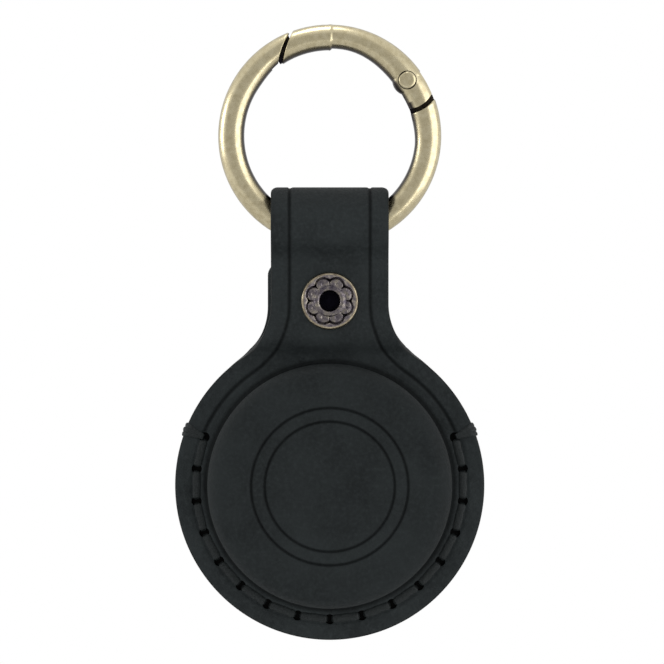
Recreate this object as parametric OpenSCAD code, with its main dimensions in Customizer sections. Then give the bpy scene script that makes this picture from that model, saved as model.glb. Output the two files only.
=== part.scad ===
// A round leather holder for a coin-shaped tracker tag, hung from a sprung gate ring.
// The origin is the centre of the ring. +Z is up and the front of the holder faces -Y.
// The front panel is one strip of leather: a moulded pocket, a neck that folds over the ring and a
// tail that comes down behind the neck. The rear panel is flat and stitched to it round the bottom.
// Its upper part is left free as a flap, which a press stud holds closed on the back of the tail.

/* [Ring] */
// Radius of the ring, centre to the middle of the bar
ring_r = 14.32; // [14.2:0.02:14.5]
// Diameter of the round bar that the ring is made of
bar_d = 3.8; // [3.6:0.05:3.85]
// Angle of the gate's hinge pin, anticlockwise from the right
pin_angle = 35.6; // [34:0.2:37]
// How far the pin sits inside the middle of the bar
pin_inset = 0.46; // [0.4:0.02:0.5]

/* [Gate] */
// Angle of the slit at the gate's nose, anticlockwise from the right
nose_angle = 117.2; // [115:0.2:119]
// Width of the slit at the nose
nose_slit = 0.45; // [0.4:0.05:0.5]
// Distance from the pin to the curved gap at the hinge
hinge_reach = 4.52; // [4.4:0.02:4.7]
// Width of the curved gap at the hinge
hinge_gap = 0.65; // [0.5:0.05:0.7]
// Thickness of the gate's bar between the hinge and its thicker nose
gate_d = 3.5; // [3.4:0.05:3.6]
// How far the gate's bar swells to the inside of the ring at the pin
gate_swell = 0.75; // [0.6:0.05:0.8]
// Radius of the round cheeks about the pin
cheek_r = 2.1; // [2.05:0.05:2.3]
// Thickness of the tongue that the cheeks straddle
tongue_t = 1.2; // [1.1:0.1:1.3]
// Diameter of the hinge pin
pin_d = 1.7; // [1.6:0.1:1.8]
// Diameter of the pin's heads
pin_head_d = 2.6; // [2.5:0.05:2.7]

/* [Leather] */
// Thickness of the leather
leather_t = 1.2; // [1.1:0.05:1.3]
// Width of the strap
strap_w = 17.1; // [16.5:0.1:17.2]
// Inner radius of the fold over the ring
fold_r = 3.7; // [3.65:0.01:3.8]
// Space between the ring and the top of the fold, when the holder hangs
fold_play = 0.35; // [0.3:0.05:0.4]
// Height below the ring over which the neck and tail come together
fold_tail = 3.55; // [3.4:0.05:4]
// Height of the strap's top over the press stud
strap_rise = 16.54; // [16.44:0.1:17.44]
// How far the rear neck shows past the left edge of the strap
neck_strip = 0.5; // [0.3:0.1:0.6]
// Height of the rear neck's top edge over the press stud
neck_rise = 5.7; // [5.4:0.1:6]
// Radius where the strap runs out into the round of the pocket
shoulder_r = 9.5; // [8:0.5:10]

/* [Pocket] */
// Radius of the moulded pocket, inside
pocket_r = 16.5; // [16.3:0.1:16.6]
// Width of the flat rim round the pocket
rim = 4.8; // [4.6:0.1:5]
// Depth of the moulded pocket, inside
pocket_depth = 8.2; // [8:0.1:8.4]
// Outer radius of the pocket's rounded shoulder
pocket_round = 2.6; // [2.4:0.1:2.8]
// Radii of the two fine circles pressed into the face
ring_marks = [9.38, 11.34];
// Width of the pressed circles
mark_w = 0.32; // [0.2:0.02:0.4]
// Height over the last stitch holes of the line where the flap bends
flap_margin = 2.4; // [2.2:0.1:2.8]

/* [Stitching] */
// Number of stitch holes
stitch_count = 17; // [17:2:17]
// Distance of the stitches from the edge
stitch_margin = 3; // [2.9:0.1:3.1]
// Angle from the bottom of the pocket to the last hole at each end
stitch_sweep = 111; // [110:1:112]
// Diameter of the stitch holes
hole_d = 1.3; // [1.2:0.05:1.4]
// Width of the flat thread
thread_w = 0.95; // [0.9:0.05:1]
// Thickness of the flat thread
thread_t = 0.45; // [0.4:0.05:0.5]
// Depth of the groove that the stitches lie in
groove_depth = 0.3; // [0.25:0.05:0.35]

/* [Press stud] */
// Height of the press stud over the round panel's top edge
snap_rise = 4.3; // [4.2:0.1:4.6]
// Diameter of the flower-shaped front
flower_d = 8.35; // [8.2:0.05:8.4]
// Diameter of the hole through it
flower_hole_d = 2.75; // [2.7:0.05:2.8]
// Number of petals
petals = 8; // [8:1:10]
// Diameter of the socket
socket_d = 8.2; // [8:0.1:8.3]
// Diameter of the stud's head
stud_head_d = 4.6; // [4.5:0.1:4.7]
// Diameter of the cap at the back
cap_d = 8.8; // [8.6:0.1:9]

/* [Hidden] */
$fn = 96;

// A length that is more than enough to cut right through
through = 80;

// Ring and gate
bar_r = bar_d / 2;
ring_in = ring_r - bar_r;
pin_r = ring_r - pin_inset;
pin_x = pin_r * cos(pin_angle);
pin_z = pin_r * sin(pin_angle);
nose_reach = norm([ring_r * cos(nose_angle) - pin_x, ring_r * sin(nose_angle) - pin_z]);
cheek_gap = 0.1;
slot_t = tongue_t + 2 * cheek_gap;
tongue_r = 1.6;
tongue_half = 1.5;
tongue_length = 7;
tongue_wide = 2.6;
tongue_inset = 0.1;
tongue_step_in = 3;
tongue_step_out = 0.7;
tongue_turn = -61;
tongue_from = -45;
eye_gap = 0.25;
pin_play = 0.04;
cheek_face = 1.7;
spot_play = 0.15;
spot_r = pin_head_d / 2 + spot_play;
head_t = 0.3;
gate_from = 5;
gate_past = 18;
gate_to = nose_angle + gate_past;
gate_nose = 28;
gate_step = nose_angle - gate_nose;
gate_inset = 0.03;
gate_lap = 4;
gate_mid_r = ring_r + bar_r - gate_d / 2 - gate_inset;

// The swell of the gate: a slightly thinner bar, bent round a centre on the ring's far side from the pin.
// It ends on both sides where its middle meets the middle of the gate's bar.
swell_thinner = 0.08;
swell_r = gate_d / 2 - swell_thinner;
swell_offset = 4;
swell_mid_r = gate_mid_r - gate_swell - swell_thinner + swell_offset;
swell_turn = acos((pow(swell_offset, 2) + pow(swell_mid_r, 2) - pow(gate_mid_r, 2))
    / (2 * swell_offset * swell_mid_r));
hinge_below = 2;
hinge_low = pin_z - hinge_below;
body_before = 17;
body_from = nose_angle - body_before;
body_to = 385;

// The gate's tenon: how far it runs in from the slit, inside and outside the bar's middle, and past the slit
tenon_root = 22;
tenon_inside = 1.7;
tenon_outside = 0.58;
tenon_past = 1.18;
tenon_from = nose_angle - tenon_root;
tenon_in = ring_r - tenon_inside;
tenon_out = ring_r + tenon_outside;
tenon_reach = nose_reach + tenon_past;
tenon_play = 0.05;
tenon_side = 0.12;
tenon_end_gap = 0.25;
lip_gap = 0.08;
lip_under = 0.12;
lip_side = 0.15;
lip_t = 1;

// Spring and plunger in the gate, on a straight bore from beside the pin
bore_r = 0.95;
bore_offset = 0.12;
bore_mid_r = ring_r + bore_offset;
bore_clear = 4.4;
bore_sweep = 30;
bore_from = pin_angle + bore_clear;
bore_to = bore_from + bore_sweep;
bore_start = bore_mid_r * [cos(bore_from), sin(bore_from)];
bore_end = bore_mid_r * [cos(bore_to), sin(bore_to)];
bore_way = bore_end - bore_start;
bore_length = norm(bore_way);
bore_turn = atan2(bore_way[1], bore_way[0]);
plunger_r = 0.85;
plunger_start = 0.95;
plunger_length = 1.5;
plunger_tip = 0.5;
spring_wire_r = 0.13;
spring_r = 0.66;
spring_turns = 6.5;
spring_steps = 16;
spring_sides = 8;
spring_start = plunger_start + plunger_length + spring_wire_r;
spring_length = bore_length - spring_start - spring_wire_r;

// Leather: Y places of the layers, with the ring in the plane Y = 0
layer_gap = 0.05;
flange_y = 1.5;
neck_mid = layer_gap + leather_t / 2;
flange_mid = flange_y - leather_t / 2;
bend_steps = 12;
flap_gap = 0.1;
flap_t = leather_t - flap_gap;
rear_y = flange_y + leather_t;
flap_mid = rear_y - flap_t / 2;
boss_r = pocket_r + leather_t;
boss_h = pocket_depth + leather_t;
mark_depth = 0.22;
disc_r = boss_r + rim;
snap_z = disc_r + snap_rise;
neck_top = snap_z + neck_rise;

// The fold hangs on the ring's inside, and the pocket's centre hangs a drop below the ring's centre
ring_low = sqrt(ring_in * ring_in - strap_w * strap_w / 4);
fold_z = fold_play - fold_r - ring_low;
fold_rise = ring_r + bar_r + fold_z + fold_tail;
fold_start_z = fold_z - fold_rise;
fold_mid_r = fold_r + leather_t / 2;
drop = snap_z + strap_rise - fold_z - fold_r - leather_t;

// Heights over the pocket's centre of the bends and ends near the press stud
stud_base_r = 3.8;
tail_margin = 0.4;
tail_end_z = snap_z - stud_base_r - tail_margin;
tail_corner = 2.5;
neck_corner = 2;
boss_margin = 0.3;
neck_bend_z = boss_r + boss_margin;
neck_bend_rise = tail_end_z - boss_margin - neck_bend_z;
flap_bend_rise = 5.2;
neck_margin = 0.6;
flap_bend_z = snap_z - socket_d / 2 - flap_bend_rise - neck_margin;

// Flap line: the flap's rounded edge turns in a hollow in the panel's edge
edge_r = flap_t / 2;
edge_play = 0.06;
crease_r = 0.5;

// Stitching
stitch_r = disc_r - stitch_margin;
flap_z = flap_margin - stitch_r * cos(stitch_sweep);
groove_w = 1.4;
groove_end = 2;
thread_spread = 0.1;
post_sides = 8;
pitch = 2 * stitch_sweep / (stitch_count - 1);
chord = 2 * stitch_r * sin(pitch / 2);
front_y = flange_y - leather_t;
thread_front = front_y + groove_depth - thread_t;
thread_rear = rear_y - groove_depth;
wrap_w = 1.7;
wrap_t = 0.35;

// Press stud: Y places along its axis
eyelet_y = -2 * neck_mid + layer_gap;
stud_y = 2 * neck_mid - layer_gap;
flower_t = 0.7;
petal_t = 0.35;
petal_r = 1.08;
petal_ring_r = 2.35;
petal_disc_r = 2.5;
rim_w = 0.4;
rim_t = 0.15;
barrel_r = 1.75;
flare_r = 2.05;
flare_h = 0.4;
barrel_hole_r = 1.82;
stud_base_t = 0.5;
stud_waist_y = stud_y + stud_base_t;
stud_waist_r = 2;
stud_waist_h = 0.6;
stud_head_r = stud_head_d / 2;
stud_edge = 0.1;
stud_top = 3.4;
socket_front = 1.95;
socket_back = 4.1;
socket_bore_r = 2.55;
socket_floor = 0.35;
spring_seat_r = 3.5;
spring_seat_front = 2.2;
spring_seat_back = 2.8;
snap_wire_r = 0.24;
snap_wire_half = 2.6;
snap_bow_z = 0.6;
snap_leg = 1.9;
post_r = 1.2;
post_hole_r = 1.25;
post_roll_r = 1.6;
post_roll_t = 0.18;
post_end = 3.57;
neck_back = socket_back + flap_t;
cap_t = 0.45;
cap_dome = 0.7;
// Radius of the sphere through the cap's rim and the top of its dome
dome_r = (pow(cap_d / 2, 2) + cap_dome * cap_dome) / (2 * cap_dome);

leather_colour = "#2b2f2f";
brass_colour = "#a89c72";
pewter_colour = "#8d8674";
thread_colour = "#1d1f20";
steel_colour = "#9a9a96";

// A flat outline in X and Z, given thickness from y0 back to y1
module slab(y0, y1) {
    translate([0, y1, 0])
        rotate([90, 0, 0])
            linear_extrude(y1 - y0) children();
}

// A profile of radius and Y, turned about the Y axis
module turned() {
    rotate([-90, 0, 0]) rotate_extrude() children();
}

// A rectangle of radius r0 to r1 and Y from y0 to y1, for turned()
module step(r0, r1, y0, y1) {
    translate([r0, y0]) square([r1 - r0, y1 - y0]);
}

module at_disc() {
    translate([0, 0, -drop]) children();
}

module at_snap() {
    translate([0, 0, snap_z - drop]) children();
}

module at_pin() {
    translate([pin_x, 0, pin_z]) children();
}

// A cylinder along Y about the pin, from y0 to y1
module about_pin(r, y0, y1) {
    at_pin() slab(y0, y1) circle(r = r);
}

// A stretch of round bar between two angles, bent to the radius mid_r
module bar(from, to, mid_r, r) {
    rotate([90, 0, 0])
        rotate([0, 0, from])
            rotate_extrude(angle = to - from)
                translate([mid_r, 0]) circle(r = r);
}

// A flat stretch of the ring's band, of radius r0 to r1 and thickness t
module band(r0, r1, from, to, t) {
    rotate([90, 0, 0])
        rotate([0, 0, from])
            rotate_extrude(angle = to - from)
                translate([r0, -t / 2]) square([r1 - r0, t]);
}

// Space for the gate's tenon in the ring's end: open on the inside of the ring, shut on the outside
module tenon_slot() {
    intersection() {
        band(ring_in - bar_r, tenon_out + tenon_play, tenon_from, gate_to, tongue_t + 2 * tenon_side);
        about_pin(tenon_reach + tenon_end_gap, -through, through);
    }
}

// Space for the gate's nose: the ring's top, as far from the pin as the slit's far side.
// On the outside of the tenon a lip of the ring is left, which closes the slit behind the gate's nose.
module nose_cut() {
    intersection() {
        difference() {
            about_pin(nose_reach + nose_slit / 2, -through, through);
            intersection() {
                band(tenon_out + lip_under, ring_r + bar_r - lip_side, tenon_from, gate_to, lip_t);
                about_pin(tenon_reach, -through, through);
                lip_face();
            }
        }
        translate([-ring_r, -through / 2, ring_r / 2]) cube([2 * ring_r, through, ring_r]);
    }
}

// Everything further from the pin than the lip's end
module lip_face() {
    difference() {
        about_pin(through, -through, through);
        about_pin(nose_reach - nose_slit / 2 + lip_gap, -through, through);
    }
}

// The ring's tongue: narrow round the pin and as wide as the bar in the gap at the hinge
module tongue() {
    intersection() {
        bar(tongue_from, pin_angle, ring_r, bar_r - tongue_inset);
        at_pin()
            slab(-tongue_t / 2, tongue_t / 2)
                rotate(tongue_turn)
                    polygon([[0, -tongue_half],
                             [tongue_step_in, -tongue_half],
                             [tongue_step_in, -tongue_wide],
                             [tongue_length, -tongue_wide],
                             [tongue_length, tongue_wide],
                             [tongue_step_out, tongue_wide],
                             [tongue_step_out, tongue_half],
                             [0, tongue_half]]);
    }
    about_pin(tongue_r, -tongue_t / 2, tongue_t / 2);
}

module ring_body() {
    color(brass_colour)
    difference() {
        union() {
            difference() {
                bar(body_from, body_to, ring_r, bar_r);
                nose_cut();
                tenon_slot();
                about_pin(hinge_reach + hinge_gap / 2, -through, through);
            }
            tongue();
        }
        about_pin(pin_d / 2 + pin_play, -through, through);
    }
}

// The thicker part of the gate's bar, which fades out towards the nose
module gate_swelling() {
    translate([-swell_offset * cos(pin_angle), 0, -swell_offset * sin(pin_angle)])
        bar(pin_angle - swell_turn, pin_angle + swell_turn, swell_mid_r, swell_r);
}

// Space below the hinge, further from the pin than the gate's end there
module past_hinge() {
    difference() {
        translate([0, -through / 2, hinge_low - through]) cube(through);
        about_pin(hinge_reach - hinge_gap / 2, -through, through);
    }
}

// The gate's bar, from the curved gap at the hinge to the slit at the nose
module gate_bar() {
    difference() {
        union() {
            bar(gate_from, pin_angle, ring_r, bar_r);
            gate_swelling();
        }
        past_hinge();
    }
    bar(pin_angle - gate_lap, gate_step + gate_lap, gate_mid_r, gate_d / 2);
    intersection() {
        bar(gate_step, gate_to, ring_r, bar_r);
        about_pin(nose_reach - nose_slit / 2, -through, through);
    }
    about_pin(cheek_r, -cheek_face, cheek_face);
    intersection() {
        band(tenon_in, tenon_out, tenon_from, gate_to, tongue_t);
        about_pin(tenon_reach, -through, through);
    }
}

// Space between the cheeks, round the ring's tongue
module fork_slot() {
    about_pin(tongue_r + eye_gap, -slot_t / 2, slot_t / 2);
    at_pin()
        slab(-slot_t / 2, slot_t / 2)
            rotate(pin_angle - 180)
                translate([-through / 2, 0]) square([through, tongue_length]);
}

module spring_bore() {
    translate([bore_start[0], 0, bore_start[1]])
        rotate([0, 90 - bore_turn, 0])
            cylinder(h = bore_length, r = bore_r);
}

module ring_gate() {
    color(brass_colour)
    difference() {
        gate_bar();
        fork_slot();
        about_pin(pin_d / 2, -through, through);
        about_pin(spot_r, cheek_face, bar_d);
        about_pin(spot_r, -bar_d, -cheek_face);
        spring_bore();
    }
}

module gate_pin() {
    color(steel_colour) {
        about_pin(pin_d / 2, -cheek_face, cheek_face);
        about_pin(pin_head_d / 2, cheek_face, cheek_face + head_t);
        about_pin(pin_head_d / 2, -cheek_face - head_t, -cheek_face);
    }
}

// A closed coil along Z, as rings of points joined into one surface
module coil(r, wire, length, turns) {
    count = round(turns * spring_steps);
    points = [for (i = [0 : count]) for (j = [0 : spring_sides - 1])
        let (a = 360 * turns * i / count, b = 360 * j / spring_sides, q = r + wire * cos(b))
            [q * cos(a), q * sin(a), length * i / count + wire * sin(b)]];
    sides = [for (i = [0 : count - 1]) for (j = [0 : spring_sides - 1])
        let (k = (j + 1) % spring_sides)
            [i * spring_sides + j, i * spring_sides + k,
             (i + 1) * spring_sides + k, (i + 1) * spring_sides + j]];
    first = [for (j = [spring_sides - 1 : -1 : 0]) j];
    last = [for (j = [0 : spring_sides - 1]) count * spring_sides + j];
    polyhedron(points, concat([first], sides, [last]));
}

module in_bore(start) {
    translate([bore_start[0], 0, bore_start[1]])
        rotate([0, 90 - bore_turn, 0])
            translate([0, 0, start]) children();
}

module gate_spring() {
    color(steel_colour)
    in_bore(spring_start) coil(spring_r, spring_wire_r, spring_length, spring_turns);
}

module spring_plunger() {
    color(steel_colour)
    in_bore(plunger_start) {
        cylinder(h = plunger_tip, r1 = plunger_r / 2, r2 = plunger_r);
        translate([0, 0, plunger_tip]) cylinder(h = plunger_length - plunger_tip, r = plunger_r);
    }
}

// One side of the neck's flared foot, tangent to the round panel and to the neck's edge
module shoulder(half) {
    x = half + shoulder_r;
    z = sqrt(pow(disc_r + shoulder_r, 2) - x * x);
    difference() {
        polygon([[0, 0], [x, z], [0, z]]);
        translate([x, z]) circle(r = shoulder_r);
    }
}

// A rectangle from z0 to z1 whose ends are rounded where a radius is given
module strip(left, right, z0, z1, low_round, high_round) {
    width = left + right;
    translate([-left, z0 + low_round])
        square([width, z1 - z0 - low_round - high_round]);
    for (end = [[low_round, z0 + low_round, z0], [high_round, z1 - high_round, z1]])
        if (end[0] > 0) {
            for (x = [-left + end[0], right - end[0]])
                translate([x, end[1]]) circle(r = end[0]);
            translate([-left + end[0], min(end[1], end[2])])
                square([width - 2 * end[0], end[0]]);
        }
}

module outline(left, right, top, top_round) {
    circle(r = disc_r);
    shoulder(right);
    mirror([1, 0]) shoulder(left);
    strip(left, right, 0, top, 0, top_round);
}

// Points of an arc in Y and Z, each with the direction of the leather's outer side
function arc(y, z, r, from, to, side) = [
    for (i = [1 : bend_steps])
        let (a = from + (to - from) * i / bend_steps)
            [y + r * cos(a), z + r * sin(a), side * cos(a), side * sin(a)]
];

// An S that rises by dz and moves forwards by dy, starting at a point that is given
function s_bend(y, z, dy, dz) =
    let (a = 2 * atan(dy / dz), r = dz / (2 * sin(a)))
        concat([[y, z, -1, 0]],
               arc(y - r, z, r, 0, a, -1),
               arc(y - dy + r, z + dz, r, 180 + a, 180, 1));

function backwards(points) = [for (i = [len(points) - 1 : -1 : 0]) points[i]];

function mirrored(points) = [for (p = points) [-p[0], p[1], -p[2], p[3]]];

// Leather of thickness t along a line of points, right across
module sheet(points, t) {
    translate([-through / 2, 0, 0])
        rotate([90, 0, 90])
            linear_extrude(through)
                polygon(concat([for (p = points) [p[0] + p[2] * t / 2, p[1] + p[3] * t / 2]],
                               [for (p = backwards(points)) [p[0] - p[2] * t / 2, p[1] - p[3] * t / 2]]));
}

// The neck opening out into the fold, on the front
fold_side = s_bend(-neck_mid, fold_start_z, fold_mid_r - neck_mid, fold_rise);

front_line = concat(
    [[flange_mid, -drop - disc_r - leather_t, -1, 0]],
    s_bend(flange_mid, neck_bend_z - drop, flange_mid + neck_mid, neck_bend_rise),
    fold_side,
    [for (p = arc(0, fold_z, fold_mid_r, 180, 0, 1)) if (p[1] > fold_z + layer_gap) p],
    backwards(mirrored(fold_side)),
    [[neck_mid, tail_end_z - drop, 1, 0]]);

flap_line = concat(
    [[flap_mid, flap_z, 1, 0]],
    mirrored(s_bend(-flap_mid, flap_bend_z, socket_back - flap_mid + flap_t / 2, flap_bend_rise)),
    [[socket_back + flap_t / 2, neck_top, 1, 0]]);

// The front panel seen from the front, with the tail's rounded corners cut behind it
module front_sheet() {
    intersection() {
        sheet(front_line, leather_t);
        at_disc() slab(-through, through) outline(strap_w / 2, strap_w / 2, drop, 0);
    }
}

module tail_corners() {
    at_disc()
        slab(layer_gap / 2, 2 * neck_mid)
            difference() {
                translate([-strap_w, tail_end_z - tail_corner]) square([2 * strap_w, 2 * tail_corner]);
                strip(strap_w / 2, strap_w / 2, tail_end_z, drop, tail_corner, 0);
            }
}

// A turned block with a rounded outer edge, standing forward from Y = 0
module rounded_block(r, h, round, from) {
    rotate([90, 0, 0])
        rotate_extrude() {
            translate([0, from]) square([r, h - round - from]);
            translate([0, from]) square([r - round, h - from]);
            translate([r - round, h - round]) circle(r = round);
        }
}

module pressed_circle(r) {
    rotate([90, 0, 0])
        rotate_extrude()
            translate([r - mark_w / 2, boss_h - mark_depth]) square([mark_w, leather_t]);
}

// Places of the stitch holes, as turns from the bottom of the pocket
module at_holes() {
    for (i = [0 : stitch_count - 1])
        rotate([0, stitch_sweep - i * pitch, 0])
            translate([0, 0, -stitch_r]) children();
}

module stitch_holes() {
    at_holes() slab(-through, through) circle(d = hole_d);
}

// The groove for the stitches, from y0 to y1
module stitch_groove(y0, y1) {
    translate([0, y1, 0])
        rotate([90, 0, 0])
            rotate([0, 0, -90 - stitch_sweep - groove_end])
                rotate_extrude(angle = 2 * (stitch_sweep + groove_end))
                    translate([stitch_r - groove_w / 2, 0]) square([groove_w, y1 - y0]);
}

module front_panel() {
    color(leather_colour)
    difference() {
        union() {
            front_sheet();
            at_disc()
                translate([0, flange_y, 0]) rounded_block(boss_r, boss_h, pocket_round, 0);
        }
        at_disc() {
            translate([0, flange_y, 0])
                rounded_block(pocket_r, pocket_depth, pocket_round - leather_t, -leather_t);
            translate([0, flange_y, 0])
                for (r = ring_marks) pressed_circle(r);
            stitch_holes();
            stitch_groove(front_y - leather_t, front_y + groove_depth);
        }
        at_snap() slab(-through / 2, through / 2) circle(r = barrel_hole_r);
        tail_corners();
    }
}

module rear_panel() {
    color(leather_colour)
    at_disc()
    difference() {
        intersection() {
            slab(flange_y, rear_y) circle(r = disc_r);
            translate([-disc_r, flange_y, -disc_r]) cube([2 * disc_r, leather_t, disc_r + flap_z]);
        }
        stitch_holes();
        stitch_groove(rear_y - groove_depth, rear_y + leather_t);
        hinge_rod(flap_mid, edge_r + edge_play);
        hinge_rod(rear_y, crease_r);
    }
}

// A rod along the line where the flap bends
module hinge_rod(y, r) {
    translate([-through / 2, y, flap_z])
        rotate([0, 90, 0])
            cylinder(h = through, r = r);
}

module rear_flap() {
    color(leather_colour)
    difference() {
        intersection() {
            at_disc() {
                hinge_rod(flap_mid, edge_r);
                sheet(flap_line, flap_t);
            }
            at_disc()
                slab(0, through)
                    outline(strap_w / 2 + neck_strip, strap_w / 2, neck_top, neck_corner);
        }
        at_snap() slab(0, through) circle(r = post_hole_r);
    }
}

// One stitch, from one hole to the next, with its front face at y
module stitch(y) {
    translate([-chord / 2, y, -thread_w / 2]) cube([chord, thread_t, thread_w]);
}

// The thread's end, taken from the last hole out round the edge of both panels and back
module edge_wrap() {
    reach = disc_r + wrap_t;
    translate([stitch_r, front_y - wrap_t, -wrap_w / 2])
        cube([reach - stitch_r, wrap_t, wrap_w]);
    translate([stitch_r, rear_y, -wrap_w / 2])
        cube([reach - stitch_r, wrap_t, wrap_w]);
    translate([disc_r, front_y - wrap_t, -wrap_w / 2])
        cube([wrap_t, rear_y - front_y + 2 * wrap_t, wrap_w]);
}

module stitching() {
    color(thread_colour)
    at_disc() {
        at_holes()
            slab(thread_front, thread_rear + thread_t)
                circle(d = thread_w + 2 * thread_spread, $fn = post_sides);
        for (i = [0 : stitch_count - 2])
            rotate([0, stitch_sweep - (i + 1 / 2) * pitch, 0])
                translate([0, 0, -stitch_r * cos(pitch / 2)]) {
                    stitch(thread_front);
                    stitch(thread_rear);
                }
        for (side = [0, 1])
            mirror([side, 0, 0])
                rotate([0, 90 - stitch_sweep, 0]) edge_wrap();
    }
}

module snap_eyelet() {
    color(pewter_colour)
    at_snap()
    difference() {
        union() {
            turned() {
                step(0, flower_d / 2, eyelet_y - flower_t, eyelet_y);
                step(0, petal_disc_r, eyelet_y - flower_t - petal_t, eyelet_y);
                step(flower_d / 2 - rim_w, flower_d / 2, eyelet_y - flower_t - rim_t, eyelet_y);
                step(0, barrel_r, eyelet_y, stud_top);
                polygon([[0, stud_top], [flare_r, stud_top],
                         [barrel_r, stud_top - flare_h], [0, stud_top - flare_h]]);
            }
            for (i = [0 : petals - 1])
                rotate([0, 360 * (i + 1 / 2) / petals, 0])
                    translate([0, 0, petal_ring_r])
                        slab(eyelet_y - flower_t - petal_t, eyelet_y - flower_t / 2) circle(r = petal_r);
        }
        slab(-through / 2, through / 2) circle(d = flower_hole_d);
    }
}

module snap_stud() {
    color(pewter_colour)
    at_snap()
    turned()
        polygon([[barrel_hole_r, stud_y],
                 [stud_base_r, stud_y],
                 [stud_base_r, stud_waist_y],
                 [stud_waist_r, stud_waist_y],
                 [stud_waist_r, stud_waist_y + stud_waist_h / 2],
                 [stud_head_r, stud_waist_y + stud_waist_h],
                 [stud_head_r, stud_top - 2 * stud_edge],
                 [stud_head_r - stud_edge, stud_top],
                 [flare_r + pin_play, stud_top],
                 [barrel_hole_r, stud_top - flare_h]]);
}

module snap_socket() {
    color(pewter_colour)
    at_snap()
    turned()
    difference() {
        step(0, socket_d / 2, socket_front, socket_back);
        step(0, socket_bore_r, 0, socket_back - socket_floor);
        step(0, spring_seat_r, spring_seat_front, spring_seat_back);
        step(0, post_hole_r, 0, through);
    }
}

// The spring wire in the socket: two straight legs beside the stud, joined by a bow over it
module snap_spring() {
    color(steel_colour)
    at_snap()
    translate([0, (spring_seat_front + spring_seat_back) / 2, snap_bow_z]) {
        for (x = [-snap_wire_half, snap_wire_half])
            translate([x, 0, -snap_leg - snap_bow_z])
                cylinder(h = snap_leg + snap_bow_z, r = snap_wire_r);
        rotate([90, 0, 0])
            rotate_extrude(angle = 180)
                translate([snap_wire_half, 0]) circle(r = snap_wire_r);
    }
}

module snap_cap() {
    color(pewter_colour)
    at_snap()
    turned() {
        step(0, cap_d / 2, neck_back, neck_back + cap_t);
        intersection() {
            step(0, cap_d / 2, neck_back, neck_back + cap_t + cap_dome);
            translate([0, neck_back + cap_t + cap_dome - dome_r]) circle(r = dome_r);
        }
        step(0, post_r, post_end, neck_back);
        step(0, post_roll_r, post_end, post_end + post_roll_t);
    }
}

ring_body();
ring_gate();
gate_pin();
gate_spring();
spring_plunger();
front_panel();
rear_panel();
rear_flap();
stitching();
snap_eyelet();
snap_stud();
snap_socket();
snap_spring();
snap_cap();
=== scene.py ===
import math

import bmesh
import bpy
from mathutils import Matrix, Vector


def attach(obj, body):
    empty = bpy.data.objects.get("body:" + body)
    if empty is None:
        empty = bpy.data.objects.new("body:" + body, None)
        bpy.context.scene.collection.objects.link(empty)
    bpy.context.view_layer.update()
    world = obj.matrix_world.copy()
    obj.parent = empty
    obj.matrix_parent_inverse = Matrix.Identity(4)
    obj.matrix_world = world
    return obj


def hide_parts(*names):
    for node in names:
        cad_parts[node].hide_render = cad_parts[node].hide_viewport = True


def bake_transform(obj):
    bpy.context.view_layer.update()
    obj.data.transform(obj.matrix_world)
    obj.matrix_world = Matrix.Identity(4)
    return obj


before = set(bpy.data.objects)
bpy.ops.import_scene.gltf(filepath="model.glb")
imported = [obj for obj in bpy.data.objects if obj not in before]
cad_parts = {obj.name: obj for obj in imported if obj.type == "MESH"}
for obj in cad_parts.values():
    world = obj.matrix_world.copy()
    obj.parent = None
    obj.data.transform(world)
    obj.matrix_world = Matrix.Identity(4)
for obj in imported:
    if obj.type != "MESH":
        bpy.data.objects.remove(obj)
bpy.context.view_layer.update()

# A round moulded leather holder that hangs by its folded strap from a sprung brass gate ring.
# Everything is worked out in millimetres and scaled to metres last. The origin is the centre of the
# ring, and the front faces -Y. The centre of the pocket lies DROP below it.

MM = 0.001
TURN_TO_Y = Matrix.Rotation(math.radians(90), 3, "X")

# Leather, as in the CAD part
DROP = 50.8
DISC_R = 22.5
BOSS_R = 17.7
BOSS_ROUND = 2.6
BOSS_FACE = -7.9
LEATHER = 1.2
STRAP_HALF = 8.55
STRAP_CORNER = 2.5
NECK_LEFT = 9.05
NECK_CORNER = 2.0
SHOULDER_R = 9.5
FLANGE_BACK = 1.5
FLANGE_FRONT = 0.3
REAR_BACK = 2.7
REAR_SHEET = 1.12
NECK_TOP = 32.5
FLAP_Z = 9.39
SNAP_Z = 26.8
MARKS = (9.38, 11.34)

# The flat pattern is spun as far as this radius, and its edge band runs from there outwards
HUB_R = 18.65
# Distances from the cut edge at which lines run along it: close together where the edge is rounded,
# over the crease and over the stitches' groove
EDGE_LINES = [0, 0.04, 0.1, 0.18, 0.28, 0.6, 1.2, 1.7, 2.12, 2.24, 2.36, 2.48, 2.6, 2.7, 2.8, 2.92,
              3.04, 3.2, 3.4, 3.62, 3.74, 3.85]

# How the leather is worked: its rounded and burnished edges, the crease beside them, the circles
# on the pocket, and the stitches' groove, which ends below the neck
ROUNDING = 0.28
BURNISHED = 0.16
CREASE_IN = 2.7
CREASE_HALF = 0.42
CREASE_DEEP = 0.16
MARK_SHAPE = ((-0.36, 0), (-0.2, 0.03), (-0.12, 0.14), (0, 0.2), (0.12, 0.14), (0.2, 0.03), (0.36, 0))
GROOVE_DEEP = 0.14
GROOVE_END = 12.0
PRESSED_DARK = 0.7

# Stitching
HOLES = 17
STITCH_R = 19.5
SWEEP = 111.0
PITCH = 2 * SWEEP / (HOLES - 1)
HOLE_R = 0.74
STITCH_WIDE = 1.15
WRAP_WIDE = 0.72
THREAD_THICK = 0.36

# Holes in the leather for the press stud
STUD_HOLE_R = 1.82
CAP_HOLE_R = 1.25


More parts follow.
